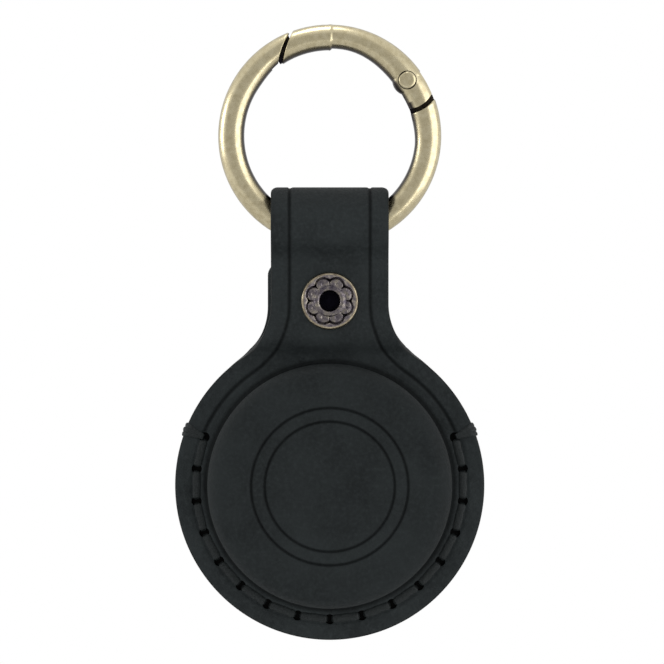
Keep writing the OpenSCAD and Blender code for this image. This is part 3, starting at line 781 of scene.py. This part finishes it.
def wrap_path(side, spread, lift):
    """From the last hole out over the edge of both layers and back to the same hole behind. It comes
    up out of the hole, lies flat on the leather, and turns round the edge, spread degrees aside."""
    hole_rise, hole_lean, bend_r, bend_run = 0.8, 0.25, 0.9, 1.41
    front_y, back_y = FLANGE_FRONT - 0.12, REAR_BACK + 0.12
    middle, deep = (front_y + back_y) / 2, (back_y - front_y) / 2
    out_r = DISC_R + 0.12 + lift
    flat_run = out_r - bend_r - STITCH_R
    half = hole_rise + flat_run + deep

    def path(u):
        s, flip = min(u, 1 - u) * 2 * half, -1 if u > 0.5 else 1
        if s < hole_rise:
            t = s / hole_rise
            r, y, ny, nr = STITCH_R + hole_lean * t, deep - bend_r * (1 - t) ** 2, 1.0, 0.0
        elif s < hole_rise + flat_run:
            t = (s - hole_rise) / flat_run
            r, y, ny, nr = STITCH_R + hole_lean + (flat_run - hole_lean) * t, deep, 1.0, 0.0
        else:
            a = math.radians(90 * (s - hole_rise - flat_run) / bend_run)
            ny, nr = math.cos(a), math.sin(a)
            r, y = out_r - bend_r * (1 - nr), deep - bend_r * (1 - ny)
        fan = (r - STITCH_R) / (out_r - STITCH_R)
        a = math.radians(-90 + side * SWEEP) + side * math.radians(spread) * fan
        out = Vector((math.cos(a), 0, math.sin(a)))
        along = Vector((-math.sin(a), 0, math.cos(a)))
        centre = out * r + Vector((0, middle - flip * y, 0)) - Vector((0, 0, DROP))
        up = (out * nr + Vector((0, -flip * ny, 0))).normalized()
        return centre, along, up
    return path


stitches = bmesh.new()
for i in range(HOLES - 1):
    for face, way in ((FLANGE_FRONT + 0.1, -1), (REAR_BACK - 0.1, 1)):
        strand(stitches, stitch_path(i, face, way), STITCH_WIDE, 34, 14, 2.5)
for side in (1, -1):
    for spread, lift in ((-1.5, 0.0), (0.2, 0.08), (1.9, 0.0)):
        strand(stitches, wrap_path(side, spread, lift), WRAP_WIDE, 60, 12, 4)
threads = len(stitches.faces)
# Plugs in the stitch holes: the thread deep in them is painted black as shade
round_pins(stitches, hole_places(), HOLE_R + 0.03, 1.0, 2.0, 16)
stitches.faces.ensure_lookup_table()
for face in stitches.faces[threads:]:
    face.material_index = 1
bmesh.ops.holes_fill(stitches, edges=[e for e in stitches.edges if e.is_boundary], sides=0)
bmesh.ops.recalc_face_normals(stitches, faces=stitches.faces)
finish_piece("waxed_stitches", stitches, "case", [thread, hole_shade_black], ("stitching",), sharp=60)


# Flower-shaped eyelet of the press stud

PETALS = 8
PETAL_RING = 2.35
PETAL_R = 1.08
FLOWER_R = 4.175
FLOWER_BASE = -1.25
TUBE_R = 1.75
BORE_R = 1.375
TUBE_END = 3.4
# Stands for the face's height until that is worked out
UNSET = 100.0


def petal_places(r, turn):
    """How far a place is past the petals' scalloped outline, from the dimple in its petal, and from
    the gap beside that petal."""
    step = 2 * math.pi / PETALS
    d = (turn - math.pi / 2) % step - step / 2
    edge = PETAL_RING * math.cos(d) + math.sqrt(PETAL_R ** 2 - (PETAL_RING * math.sin(d)) ** 2)
    return r - edge, math.hypot(r - 2.62, r * d), r * (math.pi / PETALS - abs(d))


def flower_height(r, turn):
    """How far the eyelet's face stands forward of the leather: a ring round the bore, the domed petals
    with a dimple in each and a groove between them, and the rim."""
    past, dimple, gap = petal_places(r, turn)
    ring = 0.82 + 0.22 * bump_at(r - 1.85, 0.75)
    petal = 0.8 + 0.1 * bump_at(r - 2.75, 0.6) - 0.16 * bump_at(dimple, 0.3)
    petal -= 0.14 * bump_at(gap, 0.16) * smooth(2.15, 2.5, r)
    rim = 0.5 + 0.28 * math.sqrt(max(0.0, 1 - ((r - 3.72) / 0.62) ** 2))
    inside = ring + (petal - ring) * smooth(2.1, 2.4, r)
    height = (inside if past < 0.08 else rim) - 0.22 * bump_at(past - 0.06, 0.22)
    height -= 0.5 * (1 - smooth(BORE_R, 1.62, r)) ** 2
    return height * (math.sqrt(max(0.0, 1 - (max(0.0, r - 3.95) / 0.235) ** 2)) * 0.75 + 0.25)


def flower_recess(r, turn):
    """How dark the face is: round the petals, in their dimples and gaps, and round the ring."""
    past, dimple, gap = petal_places(r, turn)
    return max(0.75 * bump_at(past - 0.06, 0.2), 0.3 * (1 - smooth(0, 0.3, past)),
               0.7 * bump_at(dimple, 0.26),
               0.8 * bump_at(gap, 0.14) * smooth(2.2, 2.5, r) * (past < 0.1),
               0.45 * bump_at(r - 2.2, 0.2))


def flower_eyelet():
    """The eyelet: its bore, its worked face and its rim, with the tube behind it."""
    radii = [BORE_R, 1.44, 1.52, 1.64, 1.78, 1.92, 2.05, 2.16] + [2.24 + 0.055 * i for i in range(27)]
    radii += [3.78, 3.86, 3.94, 4.0, 4.06, 4.11, 4.145, 4.165]
    line = [(BORE_R, 3.3), (BORE_R, 1.2), (BORE_R, -0.6)] + [(r, UNSET) for r in radii]
    line += [(FLOWER_R, FLOWER_BASE - 0.22), (4.15, FLOWER_BASE - 0.05), (4.05, FLOWER_BASE),
             (TUBE_R, FLOWER_BASE), (TUBE_R, 2.95), (2.05, TUBE_END), (1.5, TUBE_END), (BORE_R, 3.3)]
    bm = spun(line, (0, 0, 0), 240)
    patina_and_shade = bm.verts.layers.float.new("patina_and_shade")
    for v in bm.verts:
        r = math.hypot(v.co.x, v.co.z)
        if v.co.y > UNSET / 2:
            turn = math.atan2(v.co.z, v.co.x)
            v[patina_and_shade] = flower_recess(r, turn)
            v.co.y = FLOWER_BASE - flower_height(r, turn)
        # Painted shade: the bore darkens towards its depth
        elif r < BORE_R + 0.025:
            v[patina_and_shade] = smooth(-2.0, -1.2, v.co.y)
    bmesh.ops.recalc_face_normals(bm, faces=bm.faces)
    # The rim takes the rubbed pewter, and the bore takes the black of painted shade
    for f in bm.faces:
        at = f.calc_center_median()
        r = math.hypot(at.x, at.z)
        on_rim, in_bore = r > 3.75 and at.y < 0, r < BORE_R + 0.025 and at.y > -1.9
        f.material_index = 1 if on_rim else 2 if in_bore else 0
    bmesh.ops.translate(bm, vec=(0, 0, SNAP_Z - DROP), verts=bm.verts)
    return bm


finish_piece("flower_eyelet", flower_eyelet(), "case", [pewter, rubbed, tube_shade_black],
             ("snap_eyelet",), sharp=60)


# Ring and gate

RING_R = 14.32
BAR_R = 1.9
PIN = Vector((11.2696, 0, 8.0682))
PIN_R = math.hypot(PIN.x, PIN.z)
PIN_TURN = math.atan2(PIN.z, PIN.x)
# Distances from the pin to the middles of the slits, and half of each slit
NOSE_REACH = 18.417
NOSE_SLIT = 0.2
HINGE_REACH = 4.52
HINGE_SLIT = 0.32
# Distances from a bar's end at which lines run round it, and the rounding of that end
END_LINES = [0, 0.02, 0.06, 0.11, 0.17, 0.24, 0.34]
END_ROUND = 0.22
# Half of the thickness of what runs in the bars' middle
SLOT_HALF = 0.72
TENON_HALF = 0.6
TONGUE_HALF = 0.6
EYE_HALF = 0.59
FORK_HALF = 0.7
PIN_BORE_R = 1.37


def turn_at_reach(mid, reach, side):
    """Angle round the ring's centre at which a line of the bar is this far from the pin."""
    cosine = (mid ** 2 + PIN_R ** 2 - reach ** 2) / (2 * mid * PIN_R)
    return PIN_TURN + side * math.acos(max(-1.0, min(1.0, cosine)))


def round_bar(start, end, section, steps, sides=40):
    """A bent round bar between two curved ends, each a function of the radius to the ring's centre.
    section gives the bar's middle radius and its own radius at an angle."""
    bm = bmesh.new()
    count = len(END_LINES)
    made = bmesh.ops.create_grid(bm, x_segments=steps, y_segments=sides, size=0.5)
    for v in made["verts"]:
        k = round((v.co.x + 0.5) * steps)
        a = 2 * math.pi * (v.co.y + 0.5)
        a0, a1 = start(RING_R + BAR_R * math.cos(a)), end(RING_R + BAR_R * math.cos(a))
        if k < count:
            d = END_LINES[k]
            turn = a0 + d / RING_R
        elif k > steps - count:
            d = END_LINES[steps - k]
            turn = a1 - d / RING_R
        else:
            d = END_ROUND
            t = (k - count + 1) / (steps - 2 * count + 2)
            turn = a0 + END_LINES[-1] / RING_R + (a1 - a0 - 2 * END_LINES[-1] / RING_R) * t
        mid, r = section(turn)
        r -= edge_drop(d, END_ROUND)
        out = mid + r * math.cos(a)
        v.co = (out * math.cos(turn), min(r, BAR_R) * math.sin(a), out * math.sin(turn))
    bmesh.ops.remove_doubles(bm, verts=bm.verts, dist=0.001)
    bmesh.ops.holes_fill(bm, edges=[e for e in bm.edges if e.is_boundary], sides=0)
    bmesh.ops.recalc_face_normals(bm, faces=bm.faces)
    return bm


def plate(outline, y0, y1, bevel=0.0):
    """A flat plate from an outline of points in X and Z."""
    bm = bmesh.new()
    verts = [bm.verts.new((x, y0, z)) for x, z in outline]
    face = bm.faces.new(verts)
    made = bmesh.ops.extrude_face_region(bm, geom=[face])
    moved = [g for g in made["geom"] if isinstance(g, bmesh.types.BMVert)]
    bmesh.ops.translate(bm, vec=(0, y1 - y0, 0), verts=moved)
    if bevel:
        edges = list(dict.fromkeys(e for v in verts + moved for e in v.link_edges))
        bmesh.ops.bevel(bm, geom=edges, offset=bevel, segments=2, profile=0.5, affect="EDGES", material=-1,
                        clamp_overlap=True)
    return bm


def round_outline(cx, cz, r, start=0.0, end=360.0, count=48):
    """Points on a circle, or on an arc with both its ends."""
    step = (end - start) / count
    last = count if end - start >= 360 else count + 1
    turns = [math.radians(start + step * i) for i in range(last)]
    return [(cx + r * math.cos(a), cz + r * math.sin(a)) for a in turns]


def band_outline(r0, r1, start, end, count=24):
    """Outline of a piece of a flat ring, between two radii and two angles."""
    return round_outline(0, 0, r1, start, end, count) + round_outline(0, 0, r0, start, end, count)[::-1]


def spun_at_pin(profile):
    """A profile of radius and Y, mirrored to the back and turned about the pin."""
    bm = spun(profile + [(r, -y) for r, y in reversed(profile)], PIN, 48)
    bmesh.ops.recalc_face_normals(bm, faces=bm.faces)
    return bm


def across_bar(at, section):
    """Place of a point across a bar, from -1 inside the ring to 1 outside, and its share of the way
    from the bar's middle to its skin."""
    turn = math.atan2(at.z, at.x) % (2 * math.pi)
    mid, r = section(turn + 2 * math.pi if turn < 0.4 else turn)
    out = math.hypot(at.x, at.z) - mid
    return out / r, math.hypot(out, at.y) / r


def tarnish(piece, section, inside):
    """Faces in the recesses take the dark brass, which is tarnish and painted shade together. Painted dark
    reflections run along the bar's inner edge, and fainter ones along its outer edge.
    """
    for face in piece.data.polygons:
        face.material_index = 1 if inside(face.center / MM) else 0
    edges = piece.data.attributes.new("patina_and_shade", "FLOAT", "POINT")
    for v in piece.data.vertices:
        out = across_bar(v.co / MM, section)[0]
        edges.data[v.index].value = 0.95 * smooth(0.66, 0.86, -out) + 0.4 * smooth(0.88, 1.0, out)


def body_section(turn):
    """The ring's bar thins a little on its inside next to the slit, and swells next to the hinge."""
    thin = 0.22 * (1 - smooth(118, 146, math.degrees(turn))) - 0.12 * smooth(352, 374, math.degrees(turn))
    return RING_R + thin, BAR_R - thin


def gate_section(turn):
    """The gate's bar swells towards the pin, and is thicker from a small step near the top of the ring
    to its nose."""
    at = math.degrees(turn)
    thick = smooth(88.8, 89.6, at)
    seam = 0.05 * bump_at(at - 89.6, 1.4)
    swell = 0.375 * bump_at(at - 33, 48)
    return RING_R + 0.12 * (1 - thick) - swell, 1.75 + 0.13 * thick + seam + swell


# Half of the cheek round the pin, as radius and Y: a cushion that stays under the bar's skin outside
CHEEK = [(2.2 * t, -1.72 * (1 - t ** 3) ** (1 / 3))
         for t in (0, 0.2, 0.35, 0.5, 0.6, 0.7, 0.78, 0.85, 0.91, 0.95, 0.98, 0.995)]

pin_at = Vector((PIN.x, PIN.z))
pin_turn = math.degrees(PIN_TURN)
lip_turn = math.degrees(turn_at_reach(15.5, NOSE_REACH - 0.14, 1))
tenon_turn = math.degrees(turn_at_reach(14, NOSE_REACH + 1.1, 1))

# The ring's nose end has a slot for the gate's tenon, with a lip outside it. Its hinge end has a tongue
# with a thick root and an eye round the pin.
ring_body = finish_piece("brass_ring", round_bar(
    lambda r: turn_at_reach(r, NOSE_REACH + NOSE_SLIT, 1),
    lambda r: turn_at_reach(r, HINGE_REACH + HINGE_SLIT, -1) + 2 * math.pi, body_section, 260),
    None, [brass, tarnish_and_shade_brass])
combine(ring_body, plate(band_outline(11.5, 14.97, 100, 131), -SLOT_HALF, SLOT_HALF))
for outline, half in ((band_outline(12.95, 15.95, 12, pin_turn), TONGUE_HALF),
                      (band_outline(12.24, 16.05, 10, 22), 0.58),
                      (round_outline(PIN.x, PIN.z, 1.6), EYE_HALF),
                      (band_outline(14.92, 16.05, lip_turn, 124), 0.5)):
    combine(ring_body, plate(outline, -half, half), "UNION")
# Tarnish and painted shade: the tongue and eye in the hinge gap and the faces of the slot take the dark brass
tarnish(ring_body, body_section, lambda at: (at - PIN).length < (4.83 if abs(at.y) < EYE_HALF else 4.6)
        or at.z > 8 and at.x < 0 and abs(at.y) < SLOT_HALF + 0.01 and across_bar(at, body_section)[1] < 0.93)
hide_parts("ring_body")
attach(ring_body, "ring")

# The gate's hinge end has a cheek on each side with a bore for the pin, and a fork between them that is
# cut straight and then round. Its nose end has a tenon.
gate_piece = finish_piece("brass_gate", round_bar(
    lambda r: turn_at_reach(r, HINGE_REACH - HINGE_SLIT, -1),
    lambda r: turn_at_reach(r, NOSE_REACH - NOSE_SLIT, 1), gate_section, 150),
    None, [brass, tarnish_and_shade_brass])
combine(gate_piece, spun_at_pin(CHEEK), "UNION")
for y0, y1 in ((-3, -1.12), (1.12, 3)):
    combine(gate_piece, plate(round_outline(PIN.x, PIN.z, PIN_BORE_R), y0, y1))
radial = pin_at.normalized()
tangent = Vector((radial.y, -radial.x))
corners = [pin_at + radial * 4, pin_at + radial * 4 + tangent * 7, pin_at - radial * 4 + tangent * 7,
           pin_at - radial * 4]
for outline in ([(c.x, c.y) for c in corners], round_outline(PIN.x, PIN.z, 1.85)):
    combine(gate_piece, plate(outline, -FORK_HALF, FORK_HALF))
combine(gate_piece, plate(band_outline(12.65, 14.88, 108, tenon_turn), -TENON_HALF, TENON_HALF, 0.08),
        "UNION")
# Tarnish and painted shade: the pin's bore, the fork and the tenon's faces take the dark brass
tarnish(gate_piece, gate_section, lambda at: math.hypot(at.x - PIN.x, at.z - PIN.z) < PIN_BORE_R + 0.002
        or (at - PIN).length < 4.5 and abs(at.y) < FORK_HALF + 0.01 and across_bar(at, gate_section)[1] < 0.93
        or at.x < 0 and abs(at.y) < TENON_HALF + 0.01 and (at - PIN).length > NOSE_REACH - 0.1)
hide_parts("ring_gate")
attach(gate_piece, "gate")

finish_piece("hinge_pin", spun_at_pin([(0, -1.97), (0.8, -1.96), (1.1, -1.9), (1.24, -1.78), (1.29, -1.62),
                                       (1.29, -1.14), (0.85, -1.14)]),
             "gate", [brass], ("gate_pin",))

# CAD nodes that keep their shape get their finishes
for name, material in (("gate_spring", steel), ("spring_plunger", steel), ("snap_stud", pewter),
                       ("snap_socket", pewter), ("snap_spring", steel), ("snap_cap", dark_brass_shaded_post)):
    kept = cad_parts[name]
    kept.data.materials.clear()
    kept.data.materials.append(material)


# Floor, screen, lights and camera

def stage_material(name, colour, glow=0.0):
    """Painted board, or a cloth with a dim light behind it."""
    made, tree = blank_material(name)
    close(tree, node(tree, "ShaderNodeBsdfPrincipled", Base_Color=linear(colour), Roughness=0.8,
                     Emission_Color=(1, 1, 1, 1), Emission_Strength=glow))
    return made


board = bmesh.new()
bmesh.ops.create_circle(board, cap_ends=True, segments=96, radius=300)
bmesh.ops.translate(board, vec=(0, 0, -160), verts=board.verts)
floor = object_from("floor", board)
floor.data.materials.append(stage_material("White board", "#f4f4f4", 0.28))

# A dim cloth on a frame in front of the object, which only shows as a reflection
cloth = bmesh.new()
bmesh.ops.create_grid(cloth, x_segments=1, y_segments=1, size=0.5)
bmesh.ops.scale(cloth, vec=(1700, 1100, 1), verts=cloth.verts)
bmesh.ops.rotate(cloth, cent=(0, 0, 0), matrix=TURN_TO_Y, verts=cloth.verts)
bmesh.ops.translate(cloth, vec=(-300, -800, 200), verts=cloth.verts)
screen = object_from("front screen", cloth)
screen.data.materials.append(stage_material("front screen cloth", "#000000", 0.62))
screen.visible_camera = False
screen.visible_diffuse = False
screen.visible_shadow = False

# The world is white where it is seen or reflected, and lights the object more dimly
world = bpy.data.worlds.new("studio")
bpy.context.scene.world = world
world.use_nodes = True
tree = world.node_tree
tree.nodes.clear()
rays = node(tree, "ShaderNodeLightPath").outputs
seen = node(tree, "ShaderNodeMath", [(0, rays["Is Camera Ray"]), (1, rays["Is Glossy Ray"])],
            operation="MAXIMUM")
seen = node(tree, "ShaderNodeMath", [(0, seen.outputs[0]), (1, rays["Is Transmission Ray"])],
            operation="MAXIMUM")
light = node(tree, "ShaderNodeBackground", Color=(1, 1, 1, 1), Strength=0.5)
white = node(tree, "ShaderNodeBackground", Color=(1, 1, 1, 1), Strength=1.0)
mixed = node(tree, "ShaderNodeMixShader", [(0, seen.outputs[0]), (1, light.outputs[0]),
                                           (2, white.outputs[0])])
node(tree, "ShaderNodeOutputWorld", [("Surface", mixed.outputs[0])])


def softbox(name, place, target, size, watts, spreads=False):
    """A square lamp. One that spreads lights all surfaces, and the others only show as reflections."""
    lamp = bpy.data.lights.new(name, "AREA")
    lamp.shape = "SQUARE"
    lamp.size = size * MM
    lamp.energy = watts
    made = bpy.data.objects.new(name, lamp)
    bpy.context.scene.collection.objects.link(made)
    made.location = metres(place)
    made.rotation_euler = (metres(target) - metres(place)).to_track_quat("-Z", "Y").to_euler()
    made.visible_diffuse = spreads
    made.visible_glossy = not spreads


softbox("left softbox", (-800, 0, 100), (0, 0, 0), 400, 1.9)
softbox("top softbox", (-100, -20, 850), (0, 0, 0), 400, 2.4)
softbox("right softbox", (750, -350, 0), (0, 0, 0), 900, 4.2)
softbox("spot", (450, -600, -400), (0, 0, -20), 120, 0.3)
softbox("fill softbox", (-150, -950, -30), (0, 0, -30), 500, 2.45, spreads=True)

lens = bpy.data.cameras.new("camera")
lens.lens = 335.6
lens.sensor_width = 36
lens.clip_start = 0.01
camera = bpy.data.objects.new("camera", lens)
bpy.context.scene.collection.objects.link(camera)
camera.location = metres((0.33, -900, -28.5))
camera.rotation_euler = (math.radians(90), 0, 0)
bpy.context.scene.camera = camera
bpy.context.scene.view_settings.view_transform = "Standard"
